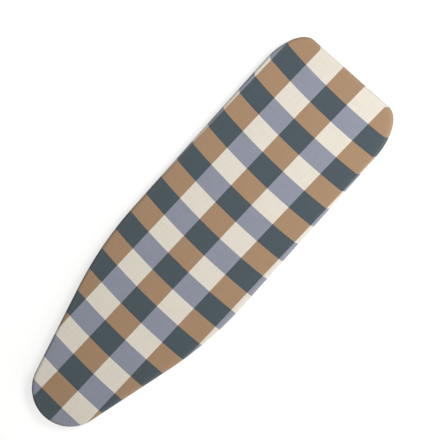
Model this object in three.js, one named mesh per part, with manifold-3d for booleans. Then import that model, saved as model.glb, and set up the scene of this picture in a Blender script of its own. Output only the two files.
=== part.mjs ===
import * as THREE from 'three';
import { mergeVertices } from 'three/addons/utils/BufferGeometryUtils.js';
import Module from 'manifold-3d';

// A fitted ironing board cover: printed cotton over a foam and a felt layer, with a bound hem that a cord
// and a cord lock draw in under the board. Sizes are in millimetres. X runs along the board to its nose,
// Y across it and Z up. The origin lies under the middle of the cover, on the plane that it rests on.

// Plan of the fitted cover
const LENGTH = 1200;
const WIDTH = 385;
const NOSE_RADIUS = 100;
const TAPER_ANGLE = THREE.MathUtils.degToRad(15);
const SHOULDER_RADIUS = 1000;
const TAIL_CORNER_LENGTH = 125;
const TAIL_CORNER_WIDTH = 62;

// Layers, and the room that the board takes between the felt and the hem
const FABRIC_THICKNESS = 0.8;
const FOAM_THICKNESS = 4;
const FELT_THICKNESS = 3;
const BOARD_DEPTH = 22;

// Rounding of the padded top edge, and of the edge where the cotton turns under
const TOP_EDGE_RADIUS = 9;
const HEM_EDGE_RADIUS = 6;

// Hem: from the outside edge in to the cord, and the tape that is folded round the cord and the raw edge
const HEM_WIDTH = 46;
const BINDING_THICKNESS = 0.8;
const BINDING_LAP = 8;

// Draw cord, and its way out of the tape's two mouths, up through the lock and down to the pull loop
const CORD_DIAMETER = 3;
const STRAND_GAP = 0.5;
const MOUTH_RUN = 4;
const CORD_BEND_RADIUS = 10;
const RISE_RUN = 22;
const FALL_RUN = 22;
const LOOP_RUN = 16;
const LOOP_RADIUS = 7;
const LOOP_LIFT = 0.4;

// Cord lock: a case with a blind bore, a sprung plunger in it and a slot through both for the two strands
const LOCK_TRAVEL = 25;
const LOCK_MARGIN = 2;
const LOCK_LIFT = 0.4;
const LOCK_WALL = 2;
const LOCK_FLOOR = 2;
const LOCK_RIM = 4;
const LOCK_ROUNDING = 1;
const STEM_WIDTH = 9;
const STEM_WALL = 1.5;
const STEM_CORNER = 1.6;
const PLUNGER_FOOT = 3;
const BUTTON_TRAVEL = 3;
const BUTTON_THICKNESS = 4.5;
const BUTTON_INSET = 0.5;
const SPRING_LENGTH = 6.4;
const SPRING_DIAMETER = 5.6;
const SPRING_WIRE = 0.8;
const SPRING_TURNS = 3.5;

// Gap between pieces that touch
const CLEARANCE = 0.3;

// Steps of the round stretches
const CORNER_STEPS = 8;
const SHOULDER_STEPS = 5;
const NOSE_STEPS = 9;
const EDGE_STEPS = 5;
const PAD_STEPS = 3;
const ROUTE_STEPS = 4;
const CORD_SIDES = 8;
const WIRE_STEPS = 8;
const WIRE_SIDES = 5;

const X_AXIS = new THREE.Vector3(1, 0, 0);
const Y_AXIS = new THREE.Vector3(0, 1, 0);
const Z_AXIS = new THREE.Vector3(0, 0, 1);

// Heights of the layers
const tunnelRadius = CORD_DIAMETER / 2 + CLEARANCE;
const bindingRadius = tunnelRadius + BINDING_THICKNESS;
const hemMiddle = bindingRadius;
const hemBottom = hemMiddle - FABRIC_THICKNESS / 2;
const feltBottom = hemMiddle + bindingRadius + BOARD_DEPTH;
const feltTop = feltBottom + FELT_THICKNESS;
const foamBottom = feltTop + CLEARANCE;
const foamTop = foamBottom + FOAM_THICKNESS;
const coverTop = foamTop + CLEARANCE + FABRIC_THICKNESS;

// Cord lock sizes, along Y from the middle of the two strands
const strandY = (CORD_DIAMETER + STRAND_GAP) / 2;
const gripHalf = strandY + CORD_DIAMETER / 2 + CLEARANCE;
const slotLength = 2 * gripHalf + BUTTON_TRAVEL;
const slotHeight = CORD_DIAMETER + 2 * CLEARANCE;
const stemHeight = slotHeight + 2 * STEM_WALL;
const stemEnd = -gripHalf - PLUNGER_FOOT;
const boreEnd = stemEnd - SPRING_LENGTH - 2 * CLEARANCE;
const caseMouth = gripHalf + LOCK_RIM;
const caseWidth = STEM_WIDTH + 2 * (CLEARANCE + LOCK_WALL);
const caseHeight = stemHeight + 2 * (CLEARANCE + LOCK_WALL);
const buttonStart = caseMouth + BUTTON_TRAVEL + CLEARANCE;

// Cord route
const mouthY = strandY + CORD_BEND_RADIUS + MOUTH_RUN;
const riseStart = HEM_WIDTH - LENGTH / 2 + CORD_BEND_RADIUS;
const riseEnd = riseStart + RISE_RUN;
const lockX = riseEnd + LOCK_MARGIN + caseWidth / 2;
const lockZ = LOCK_LIFT + caseHeight / 2;
const fallStart = riseEnd + caseWidth + LOCK_TRAVEL + 2 * LOCK_MARGIN;
const fallEnd = fallStart + FALL_RUN;
const loopX = fallEnd + LOOP_RUN;
const loopZ = LOOP_LIFT + CORD_DIAMETER / 2;

const wasm = await Module();
wasm.setup();

// Half of the plan, from the tail corner to the tip of the nose, drawn in all round by inset.
function halfOutline(inset) {
  const halfWidth = WIDTH / 2 - inset;
  const cornerX = inset - LENGTH / 2 + TAIL_CORNER_LENGTH;
  const noseX = LENGTH / 2 - NOSE_RADIUS;
  const shoulderY = WIDTH / 2 - SHOULDER_RADIUS;
  const across = NOSE_RADIUS - SHOULDER_RADIUS - shoulderY * Math.cos(TAPER_ANGLE);
  const shoulderX = noseX + across / Math.sin(TAPER_ANGLE);
  const quarter = Math.PI / 2;
  const taper = quarter - TAPER_ANGLE;
  const shoulderR = SHOULDER_RADIUS - inset;
  const noseR = NOSE_RADIUS - inset;
  const corner = new THREE.EllipseCurve(
    cornerX, halfWidth - TAIL_CORNER_WIDTH, TAIL_CORNER_LENGTH, TAIL_CORNER_WIDTH, Math.PI, quarter, true,
  );
  const shoulder = new THREE.EllipseCurve(shoulderX, shoulderY, shoulderR, shoulderR, quarter, taper, true);
  const nose = new THREE.EllipseCurve(noseX, 0, noseR, noseR, taper, 0, true);
  return [
    ...corner.getPoints(CORNER_STEPS),
    ...shoulder.getPoints(SHOULDER_STEPS),
    ...nose.getPoints(NOSE_STEPS),
  ];
}

// The whole plan at a height, anticlockwise from the tail.
function ring(inset, z) {
  const half = halfOutline(inset);
  const right = half.map((p) => new THREE.Vector3(p.x, -p.y, z));
  const left = half.slice(0, -1).reverse().map((p) => new THREE.Vector3(p.x, p.y, z));
  return [...right, ...left];
}

// The plan as an open run between the two mouths at the tail.
function hemRun(inset, z) {
  const tailX = inset - LENGTH / 2;
  const start = new THREE.Vector3(tailX, -mouthY, z);
  const end = new THREE.Vector3(tailX, mouthY, z);
  return [start, ...ring(inset, z), end];
}

// A closed skin through rings with as many points each. A contour closes the two ends with its triangles,
// and without one the last ring joins the first.
function loft(rings, contour) {
  const count = rings[0].length;
  const total = rings.length * count;
  const index = [];
  const bands = contour ? rings.length - 1 : rings.length;
  for (let band = 0; band < bands; band++) {
    for (let i = 0; i < count; i++) {
      const a = band * count + i;
      const b = band * count + ((i + 1) % count);
      const c = (b + count) % total;
      const d = (a + count) % total;
      index.push(a, b, c, a, c, d);
    }
  }
  if (contour) {
    const end = total - count;
    for (const [a, b, c] of THREE.ShapeUtils.triangulateShape(contour, [])) {
      index.push(c, b, a, end + a, end + b, end + c);
    }
  }
  const geometry = new THREE.BufferGeometry().setFromPoints(rings.flat());
  geometry.setIndex(index);
  return geometry;
}

// Stacked plan rings, from a profile of insets and heights.
function loftPlan(profile) {
  const rings = profile.map((p) => ring(p.x, p.y));
  return loft(rings, rings[0].map((p) => new THREE.Vector2(p.x, p.y)));
}

// Points round a regular polygon whose flats lie at the radius, with a flat underneath.
function polygon(radius, sides) {
  const corner = radius / Math.cos(Math.PI / sides);
  return Array.from({ length: sides }, (_, i) => {
    const angle = ((i + 0.5) / sides) * 2 * Math.PI - Math.PI / 2;
    return new THREE.Vector2(corner * Math.cos(angle), corner * Math.sin(angle));
  });
}

// A section carried along points. The reference direction stays upright in it.
function sweep(points, section, reference, closed) {
  const last = points.length - 1;
  const rings = points.map((point, i) => {
    const before = closed ? points[(i + last) % points.length] : points[Math.max(i - 1, 0)];
    const after = closed ? points[(i + 1) % points.length] : points[Math.min(i + 1, last)];
    const arriving = point.clone().sub(before).normalize();
    const along = after.clone().sub(point).normalize().add(arriving).normalize();
    const side = reference.clone().cross(along).normalize();
    const up = along.clone().cross(side);
    return section.map((p) => point.clone().addScaledVector(side, p.x).addScaledVector(up, p.y));
  });
  return loft(rings, closed ? null : section);
}

// The least gap between stretches of a round run that are more than a few points apart.
function leastGap(points, diameter, apart) {
  let least = Infinity;
  for (let i = 0; i < points.length; i++) {
    for (let j = i + apart; j < points.length; j++) {
      least = Math.min(least, points[i].distanceTo(points[j]) - diameter);
    }
  }
  return least;
}

function toSolid(geometry) {
  geometry.deleteAttribute('normal');
  geometry.deleteAttribute('uv');
  const merged = mergeVertices(geometry);
  const vertProperties = new Float32Array(merged.attributes.position.array);
  const triVerts = new Uint32Array(merged.index.array);
  return new wasm.Manifold(new wasm.Mesh({ numProp: 3, vertProperties, triVerts }));
}

function toGeometry(solid) {
  const mesh = solid.getMesh();
  const geometry = new THREE.BufferGeometry();
  geometry.setAttribute('position', new THREE.BufferAttribute(mesh.vertProperties, 3));
  geometry.setIndex(new THREE.BufferAttribute(mesh.triVerts, 1));
  return geometry;
}

function roundedRectangle(width, height, radius) {
  const x = width / 2 - radius;
  const y = height / 2 - radius;
  const quarter = Math.PI / 2;
  const shape = new THREE.Shape();
  shape.absarc(x, -y, radius, -quarter, 0);
  shape.absarc(x, y, radius, 0, quarter);
  shape.absarc(-x, y, radius, quarter, 2 * quarter);
  shape.absarc(-x, -y, radius, 2 * quarter, 3 * quarter);
  return shape;
}

// A bar along Y between two ends, with a rounded section and, where asked, rounded ends.
function barAlongY(width, height, corner, from, to, rounding = 0) {
  const shape = roundedRectangle(width - 2 * rounding, height - 2 * rounding, corner);
  const geometry = new THREE.ExtrudeGeometry(shape, {
    depth: to - from - 2 * rounding,
    bevelEnabled: rounding > 0,
    bevelSize: rounding,
    bevelThickness: rounding,
    bevelSegments: 2,
    curveSegments: 3,
  });
  geometry.translate(0, 0, from + rounding);
  const upright = new THREE.Matrix4().makeBasis(X_AXIS, Z_AXIS.clone().negate(), Y_AXIS);
  return toSolid(geometry.applyMatrix4(upright));
}

// The slot for the two strands, cut along X right through a piece of the lock.
function strandSlot(middleY) {
  const shape = roundedRectangle(slotLength, slotHeight, slotHeight / 2 - CLEARANCE);
  const depth = 2 * caseWidth;
  const geometry = new THREE.ExtrudeGeometry(shape, { depth, bevelEnabled: false, curveSegments: 3 });
  geometry.translate(middleY, 0, -caseWidth);
  const across = new THREE.Matrix4().makeBasis(Y_AXIS, Z_AXIS, X_AXIS);
  return toSolid(geometry.applyMatrix4(across));
}

// The cotton's section from the flat top round the padded edge, down the side and under to the raw edge,
// at a depth inside its outer face.
function clothProfile(depth) {
  const topR = TOP_EDGE_RADIUS - depth;
  const hemR = HEM_EDGE_RADIUS - depth;
  const topZ = coverTop - TOP_EDGE_RADIUS;
  const hemZ = hemBottom + HEM_EDGE_RADIUS;
  const top = new THREE.EllipseCurve(TOP_EDGE_RADIUS, topZ, topR, topR, Math.PI / 2, Math.PI);
  const under = new THREE.EllipseCurve(HEM_EDGE_RADIUS, hemZ, hemR, hemR, Math.PI, 1.5 * Math.PI);
  const rawEdge = new THREE.Vector2(HEM_WIDTH - tunnelRadius - CLEARANCE, hemBottom + depth);
  return [...top.getPoints(EDGE_STEPS), ...under.getPoints(EDGE_STEPS), rawEdge];
}

function coverFabric() {
  return loftPlan([...clothProfile(FABRIC_THICKNESS), ...clothProfile(0).reverse()]);
}

// A pad layer that fills the cotton's rounded edge between two heights.
function padLayer(bottom, top) {
  const radius = TOP_EDGE_RADIUS - FABRIC_THICKNESS - CLEARANCE;
  const roundFrom = coverTop - TOP_EDGE_RADIUS;
  const profile = Array.from({ length: PAD_STEPS + 1 }, (_, i) => {
    const z = THREE.MathUtils.lerp(bottom, top, Math.sin((i / PAD_STEPS) * (Math.PI / 2)));
    const rise = THREE.MathUtils.clamp(z - roundFrom, 0, radius);
    return new THREE.Vector2(TOP_EDGE_RADIUS - Math.sqrt(radius ** 2 - rise ** 2), z);
  });
  return loftPlan(profile);
}

// The tape: two laps with the raw edge between them, and a round fold with the cord's tunnel in it.
function hemBinding() {
  const innerLap = FABRIC_THICKNESS / 2 + CLEARANCE;
  const outerLap = innerLap + BINDING_THICKNESS;
  const lapEnd = -bindingRadius - BINDING_LAP;
  const foldStart = -Math.sqrt(bindingRadius ** 2 - outerLap ** 2);
  const tunnelStart = -Math.sqrt(tunnelRadius ** 2 - innerLap ** 2);
  const fold = polygon(bindingRadius, CORD_SIDES).filter((p) => p.x > foldStart);
  const tunnel = polygon(tunnelRadius, CORD_SIDES).filter((p) => p.x > tunnelStart);
  const upward = (points) => points.sort((a, b) => Math.atan2(a.y, a.x) - Math.atan2(b.y, b.x));
  const section = [
    new THREE.Vector2(lapEnd, -outerLap),
    new THREE.Vector2(foldStart, -outerLap),
    ...upward(fold),
    new THREE.Vector2(foldStart, outerLap),
    new THREE.Vector2(lapEnd, outerLap),
    new THREE.Vector2(lapEnd, innerLap),
    new THREE.Vector2(tunnelStart, innerLap),
    ...upward(tunnel).reverse(),
    new THREE.Vector2(tunnelStart, -innerLap),
    new THREE.Vector2(lapEnd, -innerLap),
  ];
  const runs = section.map((p) => hemRun(HEM_WIDTH + p.x, hemMiddle + p.y));
  const sections = runs[0].map((_, i) => runs.map((run) => run[i]));
  return loft(sections, section);
}

// One strand from its mouth, round to the lock, through it and down to the tip of the pull loop.
function strandRoute() {
  const steps = Array.from({ length: ROUTE_STEPS }, (_, i) => (i + 1) / ROUTE_STEPS);
  const ease = (t) => THREE.MathUtils.smoothstep(t, 0, 1);
  const at = (x, y, z) => new THREE.Vector3(x, y, z);
  const bendY = strandY + CORD_BEND_RADIUS;
  const bend = new THREE.EllipseCurve(
    riseStart, bendY, CORD_BEND_RADIUS, CORD_BEND_RADIUS, Math.PI, 1.5 * Math.PI,
  );
  const tip = new THREE.EllipseCurve(loopX, 0, LOOP_RADIUS, LOOP_RADIUS, Math.PI / 2, 0, true);
  const lerp = THREE.MathUtils.lerp;
  return [
    ...bend.getPoints(ROUTE_STEPS).map((p) => at(p.x, p.y, hemMiddle)),
    ...steps.map((t) => at(lerp(riseStart, riseEnd, t), strandY, lerp(hemMiddle, lockZ, ease(t)))),
    at(fallStart, strandY, lockZ),
    ...steps.map((t) => at(lerp(fallStart, fallEnd, t), strandY, lerp(lockZ, loopZ, ease(t)))),
    ...steps.slice(0, -1).map((t) => at(lerp(fallEnd, loopX, t), lerp(strandY, LOOP_RADIUS, ease(t)), loopZ)),
    ...tip.getPoints(ROUTE_STEPS).map((p) => at(p.x, p.y, loopZ)),
  ];
}

function drawCord() {
  const outward = strandRoute();
  const back = outward.slice(0, -1).reverse().map((p) => new THREE.Vector3(p.x, -p.y, p.z));
  const route = [...hemRun(HEM_WIDTH, hemMiddle), ...outward, ...back];
  console.log('draw cord, least gap to itself:', leastGap(route, CORD_DIAMETER, ROUTE_STEPS).toFixed(2));
  return sweep(route, polygon(CORD_DIAMETER / 2, CORD_SIDES), Z_AXIS, true);
}

function lockBody() {
  const corner = STEM_CORNER + CLEARANCE;
  const outerCorner = corner + LOCK_WALL - LOCK_ROUNDING;
  const start = boreEnd - LOCK_FLOOR;
  const shell = barAlongY(caseWidth, caseHeight, outerCorner, start, caseMouth, LOCK_ROUNDING);
  const boreWidth = STEM_WIDTH + 2 * CLEARANCE;
  const boreHeight = stemHeight + 2 * CLEARANCE;
  const bore = barAlongY(boreWidth, boreHeight, corner, boreEnd, caseMouth + LOCK_RIM);
  return toGeometry(shell.subtract(bore).subtract(strandSlot(-BUTTON_TRAVEL / 2)));
}

function lockPlunger() {
  const width = caseWidth - 2 * BUTTON_INSET;
  const height = caseHeight - 2 * BUTTON_INSET;
  const corner = STEM_CORNER + CLEARANCE + LOCK_WALL - BUTTON_INSET - LOCK_ROUNDING;
  const buttonEnd = buttonStart + BUTTON_THICKNESS;
  const button = barAlongY(width, height, corner, buttonStart, buttonEnd, LOCK_ROUNDING);
  const stem = barAlongY(STEM_WIDTH, stemHeight, STEM_CORNER, stemEnd, buttonStart + BUTTON_THICKNESS / 2);
  return toGeometry(stem.add(button).subtract(strandSlot(BUTTON_TRAVEL / 2)));
}

function lockSpring() {
  const radius = (SPRING_DIAMETER - SPRING_WIRE) / 2;
  const start = boreEnd + CLEARANCE + SPRING_WIRE / 2;
  const rise = SPRING_LENGTH - SPRING_WIRE;
  const count = SPRING_TURNS * WIRE_STEPS;
  const points = Array.from({ length: count + 1 }, (_, i) => {
    const angle = (i / WIRE_STEPS) * 2 * Math.PI;
    return new THREE.Vector3(radius * Math.cos(angle), start + (i / count) * rise, radius * Math.sin(angle));
  });
  console.log('lock spring, least gap to itself:', leastGap(points, SPRING_WIRE, WIRE_STEPS / 2).toFixed(2));
  return sweep(points, polygon(SPRING_WIRE / 2, WIRE_SIDES), Y_AXIS, false);
}

function piece(name, geometry, color, roughness, metalness = 0) {
  const mesh = new THREE.Mesh(geometry, new THREE.MeshStandardMaterial({ color, roughness, metalness }));
  mesh.name = name;
  return mesh;
}

const cordLock = new THREE.Group();
cordLock.position.set(lockX, 0, lockZ);
cordLock.add(
  piece('cord_lock_body', lockBody(), '#3b4147', 0.5),
  piece('cord_lock_plunger', lockPlunger(), '#3b4147', 0.5),
  piece('cord_lock_spring', lockSpring(), '#b9bcc0', 0.3, 1),
);

const cover = new THREE.Group();
cover.add(
  piece('cover_fabric', coverFabric(), '#b3a596', 0.9),
  piece('foam_pad', padLayer(foamBottom, foamTop), '#e6e0cf', 0.95),
  piece('felt_underlay', padLayer(feltBottom, feltTop), '#d9d7d2', 1),
  piece('hem_binding', hemBinding(), '#e2dccf', 0.9),
  piece('draw_cord', drawCord(), '#eceae4', 0.85),
  cordLock,
);

export default cover;
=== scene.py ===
"""Looks of a fitted ironing board cover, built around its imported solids.

Checked cotton lies taut over a foam layer and a felt layer, turns under at the edge of the board and is
gathered there on a draw cord. The cord runs in a bound hem and out at the tail to a sprung cord lock.
Sizes are in metres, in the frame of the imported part: X runs to the nose, Y across the board and Z up.
"""

import logging
import math
from collections.abc import Callable, Sequence
from dataclasses import dataclass, field
from enum import Enum
from functools import partial

import bmesh
import bpy
import numpy as np
from mathutils import Matrix, Vector


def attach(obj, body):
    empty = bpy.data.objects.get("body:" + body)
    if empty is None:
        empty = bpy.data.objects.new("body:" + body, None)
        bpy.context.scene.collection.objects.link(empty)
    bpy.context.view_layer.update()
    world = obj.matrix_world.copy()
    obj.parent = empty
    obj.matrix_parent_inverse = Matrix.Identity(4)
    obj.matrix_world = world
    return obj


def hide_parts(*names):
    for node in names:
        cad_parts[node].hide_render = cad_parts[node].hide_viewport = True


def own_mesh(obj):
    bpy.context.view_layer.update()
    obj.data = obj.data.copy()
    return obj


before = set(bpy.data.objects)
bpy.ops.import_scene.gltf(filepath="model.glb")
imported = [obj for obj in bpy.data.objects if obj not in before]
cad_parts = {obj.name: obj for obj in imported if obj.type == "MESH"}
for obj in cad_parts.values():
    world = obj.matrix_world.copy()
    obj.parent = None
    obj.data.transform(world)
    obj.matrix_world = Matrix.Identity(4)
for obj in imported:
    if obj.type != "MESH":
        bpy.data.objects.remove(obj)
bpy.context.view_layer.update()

MM = 0.001
CUT_MAP = "cut"
# Vertex attribute: how worn the cotton is along its edge, and on the cord the height of the strands' crowns,
# which paints shade into the gaps between strands.
RUB_AND_CROWN_SHADE = "rubbed"
QUARTER = math.pi / 2
TURN = 2 * math.pi
MERGE = 1e-6
WHITE = (1, 1, 1, 1)
LOG = logging.getLogger("ironing_board_cover")

Array = np.ndarray
Mesh = bmesh.types.BMesh
Verts = list[bmesh.types.BMVert]
Piece = bpy.types.Object
Socket = bpy.types.NodeSocket
Outputs = bpy.types.bpy_prop_collection
AddNode = Callable[..., Outputs]
Inputs = dict[str | int, object]
Wave = tuple[float, float, float]
Point = tuple[float, float, float]


class Body(Enum):
    """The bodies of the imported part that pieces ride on."""

    COVER = "cover"
    CORD_LOCK = "cord_lock"
    PLUNGER = "plunger"


class Slot(Enum):
    """The record's material slots."""

    COTTON = "printed_cotton"
    FOAM = "pad_foam"
    FELT = "needle_felt"
    TAPE = "bias_tape"
    CORD = "braided_cord"
    PLASTIC = "lock_plastic"
    STEEL = "spring_steel"


class Side(Enum):
    """The two faces of a printed cloth, and how far each is bleached."""

    FACE = 0.0
    REVERSE = 0.42


def to_linear(hex_code: str) -> tuple[float, ...]:
    """Turns an sRGB colour to the linear one that shaders take.

    Args:
        hex_code: The colour as #RRGGBB.

    Returns:
        Linear red, green and blue, and an alpha of 1.
    """
    channels = (int(hex_code[i : i + 2], 16) / 255 for i in (1, 3, 5))
    return *(c / 12.92 if c <= 0.04045 else ((c + 0.055) / 1.055) ** 2.4 for c in channels), 1.0


def add_node(
    tree: bpy.types.NodeTree, kind: str, inputs: Inputs | None = None, **settings: object
) -> Outputs:
    """Adds a shader node with its settings and links.

    Args:
        tree: The node tree that the node goes into.
        kind: The node's type, without the ShaderNode that all of them start with.
        inputs: For each socket, by name or number, a value or the output that feeds it.
        **settings: The node's own settings.

    Returns:
        The node's outputs.
    """
    node = tree.nodes.new("ShaderNode" + kind)
    for name, value in settings.items():
        setattr(node, name, value)
    for socket, value in (inputs or {}).items():
        if isinstance(value, Socket):
            tree.links.new(value, node.inputs[socket])
        else:
            node.inputs[socket].default_value = value
    return node.outputs


def empty_tree(owner: bpy.types.Material | bpy.types.World) -> AddNode:
    """Empties the node tree of a material or a world.

    Args:
        owner: The material or world.

    Returns:
        The function that adds nodes to it.
    """
    owner.use_nodes = True
    owner.node_tree.nodes.clear()
    return partial(add_node, owner.node_tree)


@dataclass(frozen=True)
class Finish:
    """What a piece is made of, and how that was made."""

    name: str
    slot: Slot

    def material(self) -> bpy.types.Material:
        """Makes the finish's material once, and gives the same one to later pieces.

        Returns:
            The material.
        """
        made = bpy.data.materials.get(self.name)
        if made is None:
            made = bpy.data.materials.new(self.name)
            add = empty_tree(made)
            add("OutputMaterial", {"Surface": add("BsdfPrincipled", self.surface(add))[0]})
        return made

    def surface(self, add: AddNode) -> Inputs:
        """Gives the principled shader its colour, gloss and relief.

        Args:
            add: Adds a node to the material.

        Returns:
            The shader's inputs.
        """
        raise NotImplementedError


@dataclass(frozen=True)
class CheckedCotton(Finish):
    """Plain-woven cotton, printed in a check of four colours.

    The eye gets flat, slightly chalky colours with crisp borders, faint slubs along the threads and a soft
    sheen at a low angle. The back of the cloth shows the print through, paler.
    """

    side: Side = Side.FACE
    brown: str = "#A58668"
    slate: str = "#475359"
    cream: str = "#E1DACC"
    lilac: str = "#8D919F"
    bleached: str = "#E6E2DA"
    row: float = 59.95 * MM
    column: float = 73.92 * MM
    row_start: float = 9.867
    column_start: float = 2.596
    bleed: float = 0.5 * MM
    fray: float = 2.5 * MM
    # Threads lie about 0.45 mm apart in such cloth. They are drawn more than three times as coarse to show.
    thread: float = 1.5 * MM
    # How much darker the colour is painted where the threads dip between their crowns: painted shade in the
    # weave.
    thread_shade: float = 0.07
    slub_width: float = 2.2 * MM
    slub_length: float = 70 * MM
    slub_shade: float = 0.3
    slub_height: float = 1.2
    slub_gloss: float = 0.12
    darkest: float = 0.805
    dullest: float = 0.92
    rub: float = 0.05

    def surface(self, add: AddNode) -> Inputs:
        """Args:
            add: Adds a node to the material.

        Returns:
            The shader's inputs.
        """
        cut = add("UVMap", uv_map=CUT_MAP)[0]
        height, slubs = self._weave(add, cut), self._slubs(add, cut)
        # Painted shade: the colour darkens where the weave's threads dip, and varies with the slubs.
        shade = add("Math", {0: height, 1: self.thread_shade, 2: self.darkest}, operation="MULTIPLY_ADD")
        shade = add("Math", {0: slubs, 1: self.slub_shade, 2: shade[0]}, operation="MULTIPLY_ADD")
        toned = add("VectorMath", {0: self._check(add, cut), "Scale": shade[0]}, operation="SCALE")
        worn = {0: add("Attribute", attribute_name=RUB_AND_CROWN_SHADE)["Fac"], 1: self.rub, 2: self.side.value}
        paler = add("Math", worn, operation="MULTIPLY_ADD", use_clamp=True)
        colour = add("Mix", {0: paler[0], 6: toned[0], 7: to_linear(self.bleached)}, data_type="RGBA")
        rough = add("Math", {0: slubs, 1: -self.slub_gloss, 2: self.dullest}, operation="MULTIPLY_ADD")
        relief = add("Math", {0: slubs, 1: self.slub_height, 2: height}, operation="MULTIPLY_ADD")
        bump = add("Bump", {"Strength": 0.35, "Distance": 0.12 * MM, "Height": relief[0]})
        return {
            "Base Color": colour[2],
            "Roughness": rough[0],
            "Normal": bump[0],
            "Sheen Weight": 0.03,
            "Sheen Roughness": 0.6,
            "Specular IOR Level": 0.3,
        }

    def _check(self, add: AddNode, cut: Socket) -> Socket:
        """Lays the four colours in rows and columns, with borders that bleed a little along the threads.

        Args:
            add: Adds a node to the material.
            cut: The place on the cut cloth.

        Returns:
            The printed colour.
        """
        fray = add("TexNoise", {"Vector": cut, "Scale": 1 / self.fray, "Detail": 1.0}, noise_dimensions="2D")
        strays = {0: fray["Color"], 1: (self.bleed,) * 3, 2: cut}
        strayed = add("VectorMath", strays, operation="MULTIPLY_ADD")
        # Half a cell for each square, so that the fraction tells odd squares from even ones
        scale = np.array([0.5 / self.row, 0.5 / self.column, 0])
        start = np.array([self.row_start, self.column_start, 0]) / 2 - scale * self.bleed / 2
        halves = {0: strayed[0], 1: tuple(scale), 2: tuple(start)}
        squares = add("VectorMath", halves, operation="MULTIPLY_ADD")
        share = add("VectorMath", {0: squares[0]}, operation="FRACTION")
        parts = add("SeparateXYZ", {0: share[0]})
        odd_row, odd_column = (
            add("Math", {0: parts[i], 1: 0.5}, operation="GREATER_THAN")[0] for i in (0, 1)
        )
        strong, pale = (
            add("Mix", {0: odd_row, 6: to_linear(even), 7: to_linear(odd)}, data_type="RGBA")[2]
            for even, odd in ((self.brown, self.slate), (self.cream, self.lilac))
        )
        return add("Mix", {0: odd_column, 6: strong, 7: pale}, data_type="RGBA")[2]

    def _weave(self, add: AddNode, cut: Socket) -> Socket:
        """Crosses two sets of threads over and under each other.

        Args:
            add: Adds a node to the material.
            cut: The place on the cut cloth.

        Returns:
            The height of the upper thread, from 0 between threads to 1 on its crown.
        """
        angles = add("VectorMath", {0: cut, 1: (math.pi / self.thread,) * 3}, operation="MULTIPLY")
        waves = add("VectorMath", {0: angles[0]}, operation="SINE")
        crowns = add("VectorMath", {0: waves[0]}, operation="ABSOLUTE")
        wave, crown = (add("SeparateXYZ", {0: both[0]}) for both in (waves, crowns))
        cross = add("Math", {0: wave[0], 1: wave[1]}, operation="MULTIPLY")
        upper = add("Math", {0: cross[0], 1: 0.0}, operation="GREATER_THAN")
        return add("Mix", {0: upper[0], 2: crown[0], 3: crown[1]}, data_type="FLOAT")[0]

    def _slubs(self, add: AddNode, cut: Socket) -> Socket:
        """Draws the thicker and thinner stretches of the yarn, along both sets of threads.

        Args:
            add: Adds a node to the material.
            cut: The place on the cut cloth.

        Returns:
            How thick the yarn is, about 0.5 in the middle.
        """
        slow, quick = 1 / self.slub_length, 1 / self.slub_width
        streaks = []
        for scale in ((slow, quick, 1.0), (quick, slow, 1.0)):
            stretched = add("Mapping", {"Vector": cut, "Scale": scale})
            streaks.append(add("TexNoise", {"Vector": stretched[0], "Scale": 1.0}, noise_dimensions="2D")[0])
        both = add("Math", {0: streaks[0], 1: streaks[1]}, operation="ADD")
        return add("Math", {0: both[0], 1: 0.5}, operation="MULTIPLY")[0]


@dataclass(frozen=True)
class NeedledFelt(Finish):
    """Off-white polyester felt, needle-punched: short fibres matted all ways over shallow needle marks."""

    colour: str = "#D9D7D2"
    # Painted highlight and painted shade for alternate lays of fibres.
    pale: str = "#ECEAE6"
    shadow: str = "#B9B6AF"
    # Fibres are about 0.03 mm thick. They are drawn as bundles of several tenths, so that they show.
    bundle: float = 0.35 * MM
    fibre_length: float = 6.0 * MM
    fibre_shift: float = 100 * MM
    fibre_height: float = 0.5
    lays: tuple[float, ...] = (0.2, 0.9, 1.5, 2.1, 2.8)
    needle_spacing: float = 3.2 * MM

    def surface(self, add: AddNode) -> Inputs:
        """Lays fibres with painted highlight and painted shade across each other, and dents them with the
        needle marks.

        Args:
            add: Adds a node to the material.

        Returns:
            The shader's inputs.
        """
        place = add("TexCoord")["Object"]
        marks = add("TexVoronoi", {"Vector": place, "Scale": 1 / self.needle_spacing})["Distance"]
        relief = add("MapRange", {"Value": marks, "From Min": 0.0, "From Max": 0.3})
        colour: object = to_linear(self.colour)
        size = (self.fibre_length, self.bundle, self.bundle)
        for count, lay in enumerate(self.lays):
            lie = {"Location": (self.fibre_shift * count, 0, 0), "Rotation": (0, 0, lay), "Scale": size}
            along = add("Mapping", {"Vector": place, **lie}, vector_type="TEXTURE")
            fibres = add("TexNoise", {"Vector": along[0], "Scale": 1.0, "Distortion": 0.5})
            limits = {"Value": fibres[0], "From Min": 0.54, "From Max": 0.68, "To Max": 0.5}
            strand = add("MapRange", limits)[0]
            # Alternate lays are painted pale, as lit fibres, and darker, as fibres in shade.
            tint = to_linear(self.pale if count % 2 else self.shadow)
            colour = add("Mix", {0: strand, 6: colour, 7: tint}, data_type="RGBA")[2]
            raised = {0: strand, 1: self.fibre_height, 2: relief[0]}
            relief = add("Math", raised, operation="MULTIPLY_ADD")
        bump = add("Bump", {"Strength": 0.4, "Distance": 0.3 * MM, "Height": relief[0]})
        dull = {"Roughness": 1.0, "Sheen Weight": 0.2, "Specular IOR Level": 0.15}
        return {"Base Color": colour, "Normal": bump[0], **dull}


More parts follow.
